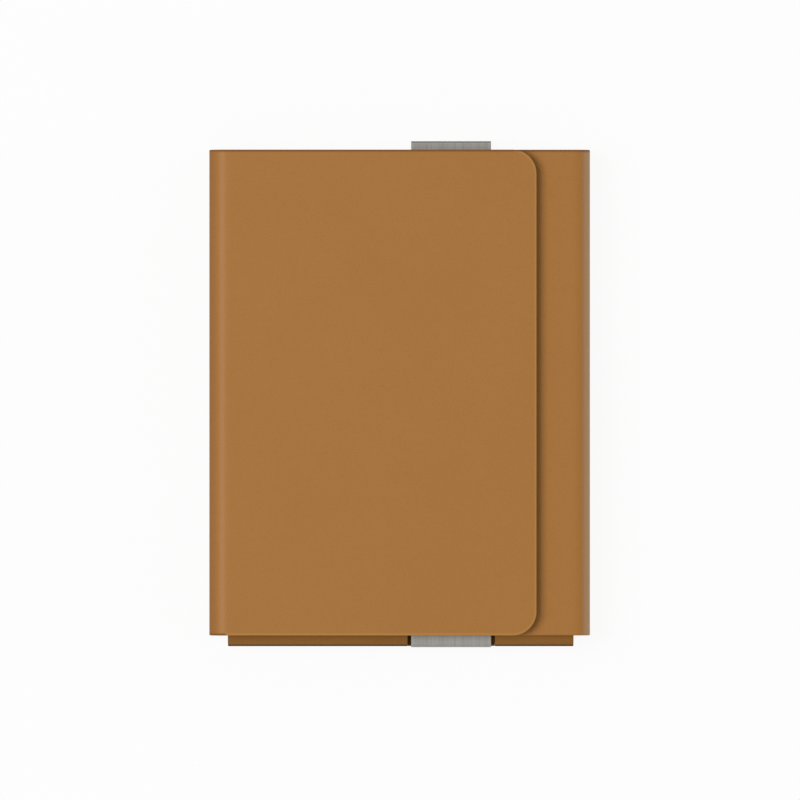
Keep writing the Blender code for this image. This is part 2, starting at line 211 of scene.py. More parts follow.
def calf_leather(name, face, mottle, pore, edge, rub_and_highlight_colour, sheen_colour, rough, shine):
    """Calf leather, drum dyed and pressed smooth under a plate.

    It gives the eye an even, softly glossy face with fine flat pores, a faint cloudiness from the
    dye, a dark burnish on the sides of the turned edges, whose mark also paints shade over some bends,
    a paler line of wear and painted highlight along rubbed rims, and a painted grey sheen along a bend.
    """
    material, tree, shader = new_material(name)
    place = add_node(tree, "ShaderNodeTexCoord", {}).outputs["Object"]
    # dye clouds about 14 mm across, and a finer unevenness about 2.5 mm across
    clouds = add_node(tree, "ShaderNodeTexNoise", {"Scale": 70, "Detail": 2}, {"Vector": place})
    patches = add_node(tree, "ShaderNodeTexNoise", {"Scale": 400, "Detail": 3}, {"Vector": place})
    # pebbles of the grain, drawn 0.45 mm across, which is coarser than calf's own, so that they show
    pebbles = add_node(tree, "ShaderNodeTexVoronoi", {"feature": "DISTANCE_TO_EDGE", "Scale": 2200},
                       {"Vector": place})
    grain = add_node(tree, "ShaderNodeTexNoise", {"Scale": 3500, "Detail": 3, "Roughness": 0.6},
                     {"Vector": place})
    cloud_share = add_node(tree, "ShaderNodeMapRange", {1: 0.35, 2: 0.7, 3: 0.0, 4: 0.35},
                           {0: clouds.outputs["Fac"]})
    patch_share = add_node(tree, "ShaderNodeMapRange", {1: 0.35, 2: 0.75, 3: 0.0, 4: 0.3},
                           {0: patches.outputs["Fac"]})
    pore_share = add_node(tree, "ShaderNodeMapRange", {1: 0.0, 2: 0.16, 3: 0.22, 4: 0.0},
                          {0: pebbles.outputs["Distance"]})
    clouded = add_node(tree, "ShaderNodeMix", {"data_type": "RGBA", 6: colour(face), 7: colour(mottle)},
                       {0: cloud_share.outputs[0]})
    patched = add_node(tree, "ShaderNodeMix", {"data_type": "RGBA", 7: colour(mottle)},
                       {0: patch_share.outputs[0], 6: clouded.outputs[2]})
    pored = add_node(tree, "ShaderNodeMix", {"data_type": "RGBA", 7: colour(pore)},
                     {0: pore_share.outputs[0], 6: patched.outputs[2]})
    # the burnish mark darkens edges with real burnish and some bends with painted shade
    rim = add_node(tree, "ShaderNodeAttribute", {"attribute_name": "burnish_and_shade"})
    rim_share = add_node(tree, "ShaderNodeMath", {"operation": "MULTIPLY", 1: 0.75}, {0: rim.outputs["Fac"]})
    # the rub mark paints the rims paler, for wear and for a painted highlight
    rub_and_highlight = add_node(tree, "ShaderNodeAttribute", {"attribute_name": "rub_and_highlight"})
    worn_and_lit = add_node(tree, "ShaderNodeMix", {"data_type": "RGBA", 7: colour(rub_and_highlight_colour)},
                    {0: rub_and_highlight.outputs["Fac"], 6: pored.outputs[2]})
    # the stretch mark paints a grey sheen, a painted reflection
    painted_sheen = add_node(tree, "ShaderNodeAttribute", {"attribute_name": "painted_sheen"})
    sheened = add_node(tree, "ShaderNodeMix", {"data_type": "RGBA", 7: colour(sheen_colour)},
                     {0: painted_sheen.outputs["Fac"], 6: worn_and_lit.outputs[2]})
    finished = add_node(tree, "ShaderNodeMix", {"data_type": "RGBA", 7: colour(edge)},
                        {0: rim_share.outputs[0], 6: sheened.outputs[2]})
    gloss = add_node(tree, "ShaderNodeMapRange", {1: 0.3, 2: 0.7, 3: rough - 0.04, 4: rough + 0.04},
                     {0: grain.outputs["Fac"]})
    dulled = add_node(tree, "ShaderNodeMath", {"operation": "MULTIPLY_ADD", 1: 0.35},
                      {0: rim.outputs["Fac"], 2: gloss.outputs[0]})
    pits = add_node(tree, "ShaderNodeMapRange", {1: 0.0, 2: 0.18, 3: 0.0, 4: 1.0},
                    {0: pebbles.outputs["Distance"]})
    heights = add_node(tree, "ShaderNodeMath", {"operation": "MULTIPLY_ADD", 1: 0.5},
                       {0: grain.outputs["Fac"], 2: pits.outputs[0]})
    relief = add_node(tree, "ShaderNodeBump", {"Strength": 0.5, "Distance": 0.000012},
                      {"Height": heights.outputs[0]})
    tree.links.new(finished.outputs[2], shader.inputs["Base Color"])
    tree.links.new(dulled.outputs[0], shader.inputs["Roughness"])
    tree.links.new(relief.outputs["Normal"], shader.inputs["Normal"])
    shader.inputs["IOR"].default_value = 1.5
    shader.inputs["Specular IOR Level"].default_value = shine
    return material


# the rubbed colour stands for wear and a painted highlight, the stretched one for a painted sheen
tan_leather = calf_leather("tan_calf_leather_plate_pressed", face="#A87335", mottle="#A46F32", pore="#8C5C27",
                           edge="#70441C", rub_and_highlight_colour="#B4803F", sheen_colour="#B38B60", rough=0.46, shine=0.24)


def inside_jacket(point, free_right=None, corner=0.0):
    """How far a point lies in from the jacket's free edges, seen from the front."""
    gap = min(jacket_high_y - point.y, point.y - jacket_low_y)
    if free_right is None:
        return gap
    near_x = point.x - (free_right - corner)
    near_y = corner - gap
    if near_x > 0 and near_y > 0:
        return corner - hypot(near_x, near_y)
    return min(gap, free_right - point.x)


def press_rims(piece, on_side, flat_up):
    """Rounds the rims of the turned edges, but not where the sheet goes on past the middle of the spine."""
    pick(piece, "FACE", on_side)
    bpy.ops.mesh.region_to_loop()
    shape = bmesh.from_edit_mesh(piece.data)
    for edge in shape.edges:
        if edge.select and lies_at(z=mid_spine_z)(edge):
            edge.select_set(False)
    bmesh.update_edit_mesh(piece.data)
    bpy.ops.mesh.bevel(offset=rim_radius, segments=3, affect="EDGES")
    # lines of points beside the rims keep the flats flat, and let what is marked there fade out
    pick(piece, "FACE", lambda face: face.normal.z * flat_up > 0.99 and face.calc_area() > flat_area)
    bpy.ops.mesh.inset(thickness=rim_fade, depth=0)
    for line_y in (jacket_low_y + rim_radius + rim_fade, jacket_high_y - rim_radius - rim_fade):
        cut_across(piece, y=line_y)
    smooth(piece)


def burnish_and_shade(point, side_inside):
    """All edges are burnished dark on their sides, and the top edge and the left spine's foot are darker
    over on to the face. Painted shade darkens the left spine over its bends, as they curve away from the
    front."""
    top = 1 - max(0.0, jacket_high_y - point.y - rim_radius) / rim_fade
    foot = 1 - max(0.0, point.y - jacket_low_y - rim_radius) / rim_fade
    side = 1 - max(0.0, side_inside) / side_fade
    # painted shade over the left spine's bends
    spine_shade = 0.7 * max(0.0, 1 - (point.x - jacket_left) / spine_shade_wide)
    return max(0.0, top, side, spine_shade, foot if point.x < left_fold_x - near else 0.0)


back_leather = lay_sheet("back_leather", (left_fold_x, jacket_low_y), (right_fold_x, jacket_high_y), 0)
pick(back_leather, "EDGE", lies_at(x=left_fold_x))
bpy.ops.mesh.spin(steps=12, angle=-pi / 2, center=(left_fold_x, 0, left_fold_radius), axis=(0, 1, 0))
pick(back_leather, "EDGE", lies_at(x=jacket_left))
pull_out(z=mid_spine_z - left_fold_radius)
turn_over()
thicken(back_leather, leather_thick)
# the board stops short of both folds, so the turned edge does too
for board_x in (board_left_x, board_right_x):
    cut_across(back_leather, x=board_x)
pick(back_leather, "FACE", lambda face: looks_up(face) and abs(centre(face).x) < flats_reach)
bpy.ops.mesh.inset(thickness=turn_in, depth=0)
pick(back_leather, "FACE", lambda face: looks_up(face) and abs(centre(face).x) < flats_reach
     and abs(centre(face).y - jacket_middle_y) > jacket_high_y - jacket_middle_y - turn_in - near)
pull_out(z=turn_in_rise)
for board_x, slant in ((board_left_x, turn_in_slant), (board_right_x, -turn_in_slant)):
    pick(back_leather, "VERT", lies_at(x=board_x, z=leather_thick + turn_in_rise))
    bpy.ops.transform.translate(value=(slant, 0, 0))
press_rims(back_leather, lambda face: inside_jacket(centre(face)) < near, -1)
mark(back_leather, "burnish_and_shade", lambda co: burnish_and_shade(co, inside_jacket(co)))
back_leather.data.materials.append(tan_leather)
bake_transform(back_leather)
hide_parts("back_skin", "left_fold_lower")


# Front flap of the jacket
# The same sheet of leather goes on over the spine to the front and ends in a free edge with two
# rounded corners. All three edges are turned over the board, which stops where the leather bends.

front_z = 0.0124
upper_fold_z = 0.0088
flap_right = 0.0274
flap_corner = 0.0048
# in square metres: the face of a turned edge is smaller than this
turned_area = 0.0005


def looks_down(face):
    return face.normal.z < -0.99


front_leather = lay_sheet("front_leather", (left_fold_x, jacket_low_y), (flap_right, jacket_high_y), front_z)
pick(front_leather, "VERT", lies_at(x=flap_right))
bpy.ops.mesh.bevel(offset=flap_corner, segments=14, affect="VERTICES")
pick(front_leather, "EDGE", lies_at(x=left_fold_x))
bpy.ops.mesh.spin(steps=12, angle=pi / 2, center=(left_fold_x, 0, upper_fold_z), axis=(0, 1, 0))
pick(front_leather, "EDGE", lies_at(x=jacket_left))
pull_out(z=mid_spine_z - upper_fold_z)
thicken(front_leather, leather_thick)
cut_across(front_leather, x=board_left_x)
pick(front_leather, "FACE", lambda face: looks_down(face) and centre(face).x > board_left_x)
bpy.ops.mesh.inset(thickness=turn_in, depth=0)
pick(front_leather, "FACE", lambda face: looks_down(face) and centre(face).x > board_left_x + turn_in
     and face.calc_area() < turned_area)
pull_out(z=-turn_in_rise)
pick(front_leather, "VERT", lies_at(x=board_left_x, z=front_z - leather_thick - turn_in_rise))
bpy.ops.transform.translate(value=(turn_in_slant, 0, 0))
press_rims(front_leather, lambda face: abs(face.normal.z) < 0.3 and centre(face).x > jacket_left + near
           and abs(inside_jacket(centre(face), flap_right, flap_corner)) < near, 1)
mark(front_leather, "burnish_and_shade", lambda co: burnish_and_shade(co, inside_jacket(co, flap_right, flap_corner)))


def rub_and_highlight(point):
    """The flap's low edge and free edge are paler along their rims, from wear and a painted highlight, but
    not the spine's foot.
    """
    if point.x < left_fold_x - near or point.y > 0 and point.x < flap_right - flap_corner:
        return 0.0
    return max(0.0, 1 - max(0.0, inside_jacket(point, flap_right, flap_corner) - rim_radius) / rim_fade)


mark(front_leather, "rub_and_highlight", rub_and_highlight)
front_leather.data.materials.append(tan_leather)
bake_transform(front_leather)
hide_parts("left_spine_skin", "left_fold_upper", "flap_skin")


# Inner cover and right spine
# The other end of the sheet goes round the right spine and over the pocket's front, where it is
# glued down. Only its strip beside the flap shows until the flap is opened.

cover_left = -0.0334
cover_z = 0.0104
right_fold_radius = 0.0032
# the cover's own faces lie above this, and the other end of the sheet below it
cover_above_z = 0.009
# a painted grey sheen lies on the spine's front bend, and fades out where the spine is flat
sheen_from_x = 0.03666
sheen_fade_x = 0.0006
sheen_from_z = 0.0069
sheen_fade_z = 0.0012

cover_leather = lay_sheet("cover_leather", (cover_left, jacket_low_y), (right_fold_x, jacket_high_y), cover_z)
pick(cover_leather, "EDGE", lies_at(x=right_fold_x))
bpy.ops.mesh.spin(steps=10, angle=-pi / 2, center=(right_fold_x, 0, cover_z - right_fold_radius),
                  axis=(0, 1, 0))
pick(cover_leather, "EDGE", lies_at(x=right_fold_x + right_fold_radius))
pull_out(z=right_fold_radius + right_fold_radius - cover_z)
bpy.ops.mesh.spin(steps=10, angle=-pi / 2, center=(right_fold_x, 0, right_fold_radius), axis=(0, 1, 0))
thicken(cover_leather, leather_thick)
cut_across(cover_leather, x=board_right_x)
pick(cover_leather, "FACE", lambda face: looks_down(face) and centre(face).z > cover_above_z
     and centre(face).x < board_right_x)
bpy.ops.mesh.inset(thickness=turn_in, depth=0)
pick(cover_leather, "FACE", lambda face: looks_down(face) and centre(face).z > cover_above_z
     and centre(face).x < board_right_x - turn_in and face.calc_area() < turned_area)
pull_out(z=-turn_in_rise)
pick(cover_leather, "VERT", lies_at(x=board_right_x, z=cover_z - leather_thick - turn_in_rise))
bpy.ops.transform.translate(value=(-turn_in_slant, 0, 0))
press_rims(cover_leather, lambda face: inside_jacket(centre(face)) < near
           or centre(face).x < cover_left + near, 1)
mark(cover_leather, "burnish_and_shade", lambda co: burnish_and_shade(co, min(inside_jacket(co), co.x - cover_left)))
# the painted grey sheen on the right spine's front bend
mark(cover_leather, "painted_sheen", lambda co: max(0.0, min(1.0, (co.x - sheen_from_x) / sheen_fade_x,
                                                       (co.z - sheen_from_z) / sheen_fade_z)))
cover_leather.data.materials.append(tan_leather)
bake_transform(cover_leather)
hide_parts("cover_skin", "right_spine_skin")


# Stiffening boards
# Three sheets of grey bookbinding board, glued between leather and lining. Their solids are cut to
# shape already, with holes for the magnets, and get the fibres of pressed waste paper.

grey_board, tree, shader = new_material("grey_bookbinding_board_pressed")
place = add_node(tree, "ShaderNodeTexCoord", {}).outputs["Object"]
# specks about 0.4 mm and fibres about 1 mm long, which give it its flecked grey
specks = add_node(tree, "ShaderNodeTexNoise", {"Scale": 2400, "Detail": 3}, {"Vector": place})
fibres = add_node(tree, "ShaderNodeTexNoise", {"Scale": 900, "Detail": 4, "Distortion": 2.5},
                  {"Vector": place})
speck_share = add_node(tree, "ShaderNodeMapRange", {1: 0.55, 2: 0.7, 3: 0.0, 4: 0.6},
                       {0: specks.outputs["Fac"]})
fibre_share = add_node(tree, "ShaderNodeMapRange", {1: 0.4, 2: 0.65, 3: 0.0, 4: 0.7},
                       {0: fibres.outputs["Fac"]})
pulp = add_node(tree, "ShaderNodeMix", {"data_type": "RGBA", 6: colour("#8C8577"), 7: colour("#A39C8D")},
                {0: fibre_share.outputs[0]})
flecked = add_node(tree, "ShaderNodeMix", {"data_type": "RGBA", 7: colour("#6B6557")},
                   {0: speck_share.outputs[0], 6: pulp.outputs[2]})
relief = add_node(tree, "ShaderNodeBump", {"Strength": 0.6, "Distance": 0.00003},
                  {"Height": fibres.outputs["Fac"]})
tree.links.new(flecked.outputs[2], shader.inputs["Base Color"])
tree.links.new(relief.outputs["Normal"], shader.inputs["Normal"])
shader.inputs["Roughness"].default_value = 0.9
for node in ("back_board", "flap_board", "cover_board"):
    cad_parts[node].data.materials.clear()
    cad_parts[node].data.materials.append(grey_board)


# Closing magnets
# Four thin discs of nickel-plated magnet in the holes of the flap's and cover's boards. The leather
# and the lining hide them when the wallet is whole.

nickel, tree, shader = new_material("nickel_plating_satin")
place = add_node(tree, "ShaderNodeTexCoord", {}).outputs["Object"]
# a soft pale shine, broken by a satin grain about 0.15 mm across and a haze about 2 mm across
satin = add_node(tree, "ShaderNodeTexNoise", {"Scale": 6500, "Detail": 2}, {"Vector": place})
haze = add_node(tree, "ShaderNodeTexNoise", {"Scale": 500, "Detail": 2}, {"Vector": place})
gloss = add_node(tree, "ShaderNodeMapRange", {1: 0.3, 2: 0.7, 3: 0.24, 4: 0.38}, {0: haze.outputs["Fac"]})
tarnish = add_node(tree, "ShaderNodeMix", {"data_type": "RGBA", 6: colour("#C4C1B8"), 7: colour("#B0ABA0")},
                   {0: haze.outputs["Fac"]})
relief = add_node(tree, "ShaderNodeBump", {"Strength": 0.3, "Distance": 0.000004},
                  {"Height": satin.outputs["Fac"]})
tree.links.new(tarnish.outputs[2], shader.inputs["Base Color"])
tree.links.new(gloss.outputs[0], shader.inputs["Roughness"])
tree.links.new(relief.outputs["Normal"], shader.inputs["Normal"])
shader.inputs["Metallic"].default_value = 1.0
for node in ("flap_magnet_upper", "flap_magnet_lower", "cover_magnet_upper", "cover_magnet_lower"):
    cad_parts[node].data.materials.clear()
    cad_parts[node].data.materials.append(nickel)


# Linings of the jacket
# Brown microfibre, 0.3 mm thick, glued inside the flap, the back and both spines. It dips beside
# each fold, where the board under it stops, and its edges stay just inside the leather's.

lining_thick = 0.0003
lining_inset = 0.0004
lining_low_y = jacket_low_y + lining_inset
lining_high_y = jacket_high_y - lining_inset
lining_left = -0.0335
lining_right = 0.0334
lining_spine_x = -0.0371
back_lining_z = 0.0017
back_dipped_z = 0.00105
flap_lining_z = 0.0107
flap_dipped_z = 0.01135
dip = 0.00065
dip_run = 0.0010
dip_round = 0.0003
right_dip = 0.0007
right_dip_run = 0.0014
lining_bend = 0.0025
spine_lining_left = 0.0343
spine_lining_z = 0.0097
spine_lining_upper_z = 0.0072
spine_lining_lower_z = 0.0032
spine_lining_flat = 0.0040

microfibre, tree, shader = new_material("brown_microfibre_brushed")
place = add_node(tree, "ShaderNodeTexCoord", {}).outputs["Object"]
# a matt brown that the brushed nap clouds: tufts about 0.4 mm, and strokes some 8 mm across where
# the nap lies another way
tufts = add_node(tree, "ShaderNodeTexNoise", {"Scale": 2600, "Detail": 4, "Roughness": 0.7},
                 {"Vector": place})
strokes = add_node(tree, "ShaderNodeTexNoise", {"Scale": 130, "Detail": 3, "Distortion": 1.2},
                   {"Vector": place})
stroke_share = add_node(tree, "ShaderNodeMapRange", {1: 0.35, 2: 0.65, 3: 0.0, 4: 0.7},
                        {0: strokes.outputs["Fac"]})
tuft_share = add_node(tree, "ShaderNodeMapRange", {1: 0.3, 2: 0.7, 3: 0.55, 4: 0.0},
                      {0: tufts.outputs["Fac"]})
brushed = add_node(tree, "ShaderNodeMix", {"data_type": "RGBA", 6: colour("#5A3F26"), 7: colour("#6B4C30")},
                   {0: stroke_share.outputs[0]})
napped = add_node(tree, "ShaderNodeMix", {"data_type": "RGBA", 7: colour("#3F2B19")},
                  {0: tuft_share.outputs[0], 6: brushed.outputs[2]})
relief = add_node(tree, "ShaderNodeBump", {"Strength": 0.7, "Distance": 0.00004},
                  {"Height": tufts.outputs["Fac"]})
tree.links.new(napped.outputs[2], shader.inputs["Base Color"])
tree.links.new(relief.outputs["Normal"], shader.inputs["Normal"])
shader.inputs["Roughness"].default_value = 0.92
shader.inputs["Sheen Weight"].default_value = 0.25
shader.inputs["Sheen Roughness"].default_value = 0.4


def line_left_spine(lining, dip_z, dipped_z):
    """Dips a lining beside the left fold and takes it round the bend to the middle of the spine."""
    pick(lining, "EDGE", lies_at(x=lining_left))
    pull_out(x=-dip_run, z=dip_z)
    pull_out(x=lining_spine_x - left_fold_x)
    pull_out(z=mid_spine_z - dipped_z)
    pick(lining, "EDGE", lies_at(x=lining_spine_x, z=dipped_z))
    bpy.ops.mesh.bevel(offset=lining_bend, segments=10, affect="EDGES")
    pick(lining, "EDGE", lies_at(x=lining_left))
    bpy.ops.mesh.bevel(offset=dip_round, segments=3, affect="EDGES")


def finish_lining(lining):
    thicken(lining, lining_thick)
    smooth(lining)
    lining.data.materials.append(microfibre)


back_lining = lay_sheet("back_lining_sheet", (lining_left, lining_low_y), (lining_right, lining_high_y),
                        back_lining_z)
pick(back_lining, "EDGE", lies_at(x=lining_right))
pull_out(x=right_dip_run, z=-right_dip)
line_left_spine(back_lining, -dip, back_dipped_z)
finish_lining(back_lining)
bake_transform(back_lining)
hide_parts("back_lining")

flap_lining = lay_sheet("flap_lining_sheet", (lining_left, lining_low_y),
                        (flap_right - lining_inset, lining_high_y), flap_lining_z)
pick(flap_lining, "VERT", lies_at(x=flap_right - lining_inset))
bpy.ops.mesh.bevel(offset=flap_corner - lining_inset, segments=14, affect="VERTICES")
line_left_spine(flap_lining, dip, flap_dipped_z)
turn_over()
finish_lining(flap_lining)
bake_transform(flap_lining)
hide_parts("flap_lining", "left_spine_lining")

spine_lining = lay_sheet("right_spine_lining_sheet", (spine_lining_left, lining_low_y),
                         (right_fold_x, lining_high_y), spine_lining_z)
pick(spine_lining, "EDGE", lies_at(x=right_fold_x))
bpy.ops.mesh.spin(steps=10, angle=-pi / 2, center=(right_fold_x, 0, spine_lining_upper_z), axis=(0, 1, 0))
pick(spine_lining, "EDGE", lies_at(x=right_fold_x + lining_bend))
pull_out(z=-spine_lining_flat)
bpy.ops.mesh.spin(steps=10, angle=-pi / 2, center=(right_fold_x, 0, spine_lining_lower_z), axis=(0, 1, 0))
finish_lining(spine_lining)
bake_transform(spine_lining)
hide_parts("right_spine_lining")


# Card pocket
# One sleeve of the same leather, darker in tone and left matt. Its front wall turns round a half-round
# bottom into its back wall. A slot is cut there for the strap, and a tongue is left behind it.

pocket_left = -0.0344
pocket_right = 0.0348
pocket_top = 0.0470
pocket_fold_y = -0.0468
pocket_front_z = 0.0090
pocket_back_z = 0.0018
pocket_thick = 0.0005
# faces above this belong to the front wall
pocket_middle_z = 0.005
slot_left = 0.0016
slot_right = 0.0190
slot_reach = 0.0015
tongue_low_y = -0.0504
cut_edge_round = 0.00013
bottom_shade_y = -0.0499
bottom_shade_fade = 0.0003

dark_leather = calf_leather("dark_tan_calf_leather_matt", face="#9A692E", mottle="#916128", pore="#624018",
                            edge="#3F2A0C", rub_and_highlight_colour="#9A692E", sheen_colour="#9A692E", rough=0.62, shine=0.15)


def pocket_burnish_and_shade(point):
    """The pocket's cut edges are dyed dark. Painted shade darkens the back wall and tongue behind the slot,
    and the bottom towards its lowest line, as it curves under.
    """
    at_sides = point.x < pocket_left + near or point.x > pocket_right - near
    # painted shade: the back wall and tongue behind the slot take the dark edge colour
    at_slot = slot_left - near < point.x < slot_right + near and point.y < pocket_fold_y + slot_reach + near
    if at_sides or at_slot or point.y > pocket_top - near:
        return 1.0
    # painted shade on the bottom towards its lowest line
    return max(0.0, min(1.0, (bottom_shade_y - point.y) / bottom_shade_fade))


pocket = lay_sheet("pocket_sleeve", (pocket_left, pocket_fold_y), (pocket_right, pocket_top), pocket_front_z)
pick(pocket, "FACE", lambda face: True)
bpy.ops.mesh.duplicate_move(TRANSFORM_OT_translate={"value": (0, 0, pocket_back_z - pocket_front_z)})
bpy.ops.mesh.flip_normals()
cut_across(pocket, x=slot_left)
cut_across(pocket, x=slot_right)
cut_across(pocket, y=pocket_fold_y + slot_reach)
pick(pocket, "FACE", lambda face: centre(face).y < pocket_fold_y + slot_reach
     and slot_left < centre(face).x < slot_right and centre(face).z > pocket_middle_z)
bpy.ops.mesh.delete(type="FACE")
pick(pocket, "EDGE", lies_at(y=pocket_fold_y, z=pocket_front_z))
bpy.ops.mesh.spin(steps=30, angle=-pi, center=(0, pocket_fold_y, (pocket_front_z + pocket_back_z) / 2),
                  axis=(1, 0, 0))
bpy.ops.mesh.select_all(action="SELECT")
bpy.ops.mesh.remove_doubles(threshold=0.00002)
# the leather cut free by the slot stays flat as a tongue behind the strap
pick(pocket, "EDGE", lambda edge: lies_at(y=pocket_fold_y, z=pocket_back_z)(edge)
     and slot_left < (edge.verts[0].co.x + edge.verts[1].co.x) / 2 < slot_right)
pull_out(y=tongue_low_y - pocket_fold_y)
bpy.ops.mesh.select_all(action="SELECT")
bpy.ops.mesh.normals_make_consistent(inside=False)
thicken(pocket, pocket_thick)
pick(pocket, "EDGE", lambda edge: len(edge.link_faces) == 2 and edge.calc_face_angle() > 1.2)
bpy.ops.mesh.bevel(offset=cut_edge_round, segments=2, affect="EDGES")
smooth(pocket)
mark(pocket, "burnish_and_shade", pocket_burnish_and_shade)
pocket.data.materials.append(dark_leather)
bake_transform(pocket)
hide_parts("pocket_back_wall", "pocket_front_wall", "pocket_bottom_left", "pocket_bottom_right")


# Side gussets of the pocket
# A strip of thinner leather down each side, glued to both walls and folded inwards once, so that
# the pocket widens for more cards.

gusset_low_y = -0.0465
gusset_high_y = 0.0460
gusset_upper_z = 0.0081
gusset_middle_z = 0.0054
gusset_thick = 0.00045
flange_from = 0.0001
flange_to = 0.0008
flange_wide = 0.0007
gusset_deep = 0.0035
crease_round = 0.0009
flange_round = 0.0004

for side, edge_x, inwards in (("left", pocket_left, 1), ("right", pocket_right, -1)):
    ends = sorted((edge_x + inwards * flange_from, edge_x + inwards * flange_to))
    gusset = lay_sheet(f"{side}_gusset", (ends[0], gusset_low_y), (ends[1], gusset_high_y), gusset_upper_z)
    fold_x = edge_x + inwards * flange_to
    pick(gusset, "EDGE", lies_at(x=fold_x))
    pull_out(x=inwards * gusset_deep, z=gusset_middle_z - gusset_upper_z)
    pull_out(x=-inwards * gusset_deep, z=gusset_middle_z - gusset_upper_z)
    pull_out(x=-inwards * flange_wide)
    pick(gusset, "EDGE", lies_at(x=fold_x + inwards * gusset_deep))
    bpy.ops.mesh.bevel(offset=crease_round, segments=6, affect="EDGES")
    pick(gusset, "EDGE", lies_at(x=fold_x))
    bpy.ops.mesh.bevel(offset=flange_round, segments=3, affect="EDGES")
    thicken(gusset, gusset_thick, offset=0)
    smooth(gusset)
    mark(gusset, "burnish_and_shade", lambda co: 1.0 if co.y > gusset_high_y - near else 0.0)
    gusset.data.materials.append(dark_leather)
    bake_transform(gusset)
    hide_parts(f"pocket_gusset_{side}")


# Pull strap
# Grey woven elastic, 16 mm wide, with fine ribs along it. It is sewn to the front wall inside the
# pocket's mouth, runs down, turns at the bottom through the slot and comes up behind the cards.

strap_left = 0.0023
strap_right = 0.0183
strap_thick = 0.0006
strap_front_z = 0.0082
strap_back_z = 0.0026
strap_fold_y = -0.0478
strap_ends_y = -0.0475
anchor_y = 0.0455
tab_foot_y = 0.0436
rib_depth = 0.00002
rib_pitch = 0.0008
pick_pitch = 0.0005
webbing_lines = 40
strap_radius = (strap_front_z - strap_back_z) / 2
strap_middle_z = (strap_front_z + strap_back_z) / 2
# behind the cards the measure along the strap is -y less this, so that it runs on from the turn
behind_from = 0.1044

grey_elastic, tree, shader = new_material("grey_elastic_woven_ribbed")
place = add_node(tree, "ShaderNodeTexCoord", {}).outputs["Object"]
across = add_node(tree, "ShaderNodeSeparateXYZ", {}, {0: place}).outputs["X"]
along = add_node(tree, "ShaderNodeAttribute", {"attribute_name": "along_strap"}).outputs["Fac"]
weave_place = add_node(tree, "ShaderNodeCombineXYZ", {"Z": 0.0}, {"X": across, "Y": along}).outputs[0]
# a matt grey of cords 0.8 mm apart, with painted shade in the mesh's grooves, crossed by picks that are drawn
# 0.5 mm apart, which is coarser than such elastic's own, so that they show
# a wave texture's bands repeat every pi / 10 / scale
ribs = add_node(tree, "ShaderNodeTexWave", {"bands_direction": "X", "Scale": pi / 10 / rib_pitch,
                                            "Phase Offset": pi / 4, "Distortion": 0.0},
                {"Vector": weave_place})
picks = add_node(tree, "ShaderNodeTexWave", {"bands_direction": "Y", "Scale": pi / 10 / pick_pitch,
                                             "Distortion": 0.6}, {"Vector": weave_place})
fuzz = add_node(tree, "ShaderNodeTexNoise", {"Scale": 4200, "Detail": 3}, {"Vector": weave_place})
bands = add_node(tree, "ShaderNodeTexNoise", {"noise_dimensions": "1D", "Scale": 650, "Detail": 2},
                 {"W": across})
band_share = add_node(tree, "ShaderNodeMapRange", {1: 0.35, 2: 0.65, 3: 0.0, 4: 1.0},
                      {0: bands.outputs["Fac"]})
# painted shade in the grooves between the cords
groove_shade_share = add_node(tree, "ShaderNodeMapRange", {1: 0.0, 2: 1.0, 3: 0.12, 4: 0.0}, {0: ribs.outputs["Fac"]})
pick_share = add_node(tree, "ShaderNodeMapRange", {1: 0.0, 2: 1.0, 3: 0.15, 4: 0.0},
                      {0: picks.outputs["Fac"]})
cords = add_node(tree, "ShaderNodeMix", {"data_type": "RGBA", 6: colour("#AFADA9"), 7: colour("#BCBAB5")},
                 {0: band_share.outputs[0]})
ribbed = add_node(tree, "ShaderNodeMix", {"data_type": "RGBA", 7: colour("#83827E")},
                  {0: groove_shade_share.outputs[0], 6: cords.outputs[2]})
crossed = add_node(tree, "ShaderNodeMix", {"data_type": "RGBA", 7: colour("#8B8985")},
                   {0: pick_share.outputs[0], 6: ribbed.outputs[2]})
# painted shade along the pull tab's fold, where it curves away
fold_shade = add_node(tree, "ShaderNodeAttribute", {"attribute_name": "painted_fold_shade"}).outputs["Fac"]
woven = add_node(tree, "ShaderNodeMix", {"data_type": "RGBA", 7: colour("#7E7E7C")},
                 {0: fold_shade, 6: crossed.outputs[2]})
height = add_node(tree, "ShaderNodeMath", {"operation": "MULTIPLY_ADD", 1: 0.6},
                  {0: fuzz.outputs["Fac"], 2: picks.outputs["Fac"]})
relief = add_node(tree, "ShaderNodeBump", {"Strength": 0.6, "Distance": 0.00004},
                  {"Height": height.outputs[0]})
tree.links.new(woven.outputs[2], shader.inputs["Base Color"])
tree.links.new(relief.outputs["Normal"], shader.inputs["Normal"])
shader.inputs["Roughness"].default_value = 0.8
shader.inputs["Specular IOR Level"].default_value = 0.12


def lay_webbing(name, low_y, high_y, z, groove):
    """A length of the strap as a flat sheet whose every second line of points is pushed in as a groove."""
    put_all_down()
    middle = ((strap_left + strap_right) / 2, (low_y + high_y) / 2, z)
    bpy.ops.mesh.primitive_grid_add(x_subdivisions=webbing_lines, y_subdivisions=1, size=1, location=middle)
    piece = settle(name, (strap_right - strap_left, high_y - low_y, 1))
    pick(piece, "VERT", lambda vert: round((vert.co.x - strap_left) / (rib_pitch / 2)) % 2 == 0)
    bpy.ops.transform.translate(value=(0, 0, groove))
    return piece


def finish_webbing(piece, measure):
    thicken(piece, strap_thick)
    smooth(piece, 60)
    mark(piece, "along_strap", measure)
    piece.data.materials.append(grey_elastic)


def along_turn(point):
    """How far along the strap a point of its turn lies, on from the front run."""
    if point.y > strap_fold_y:
        return point.y
    arm = Vector((strap_fold_y - point.y, point.z - strap_middle_z))
    return strap_fold_y - strap_radius * arm.angle(Vector((0, 1)))


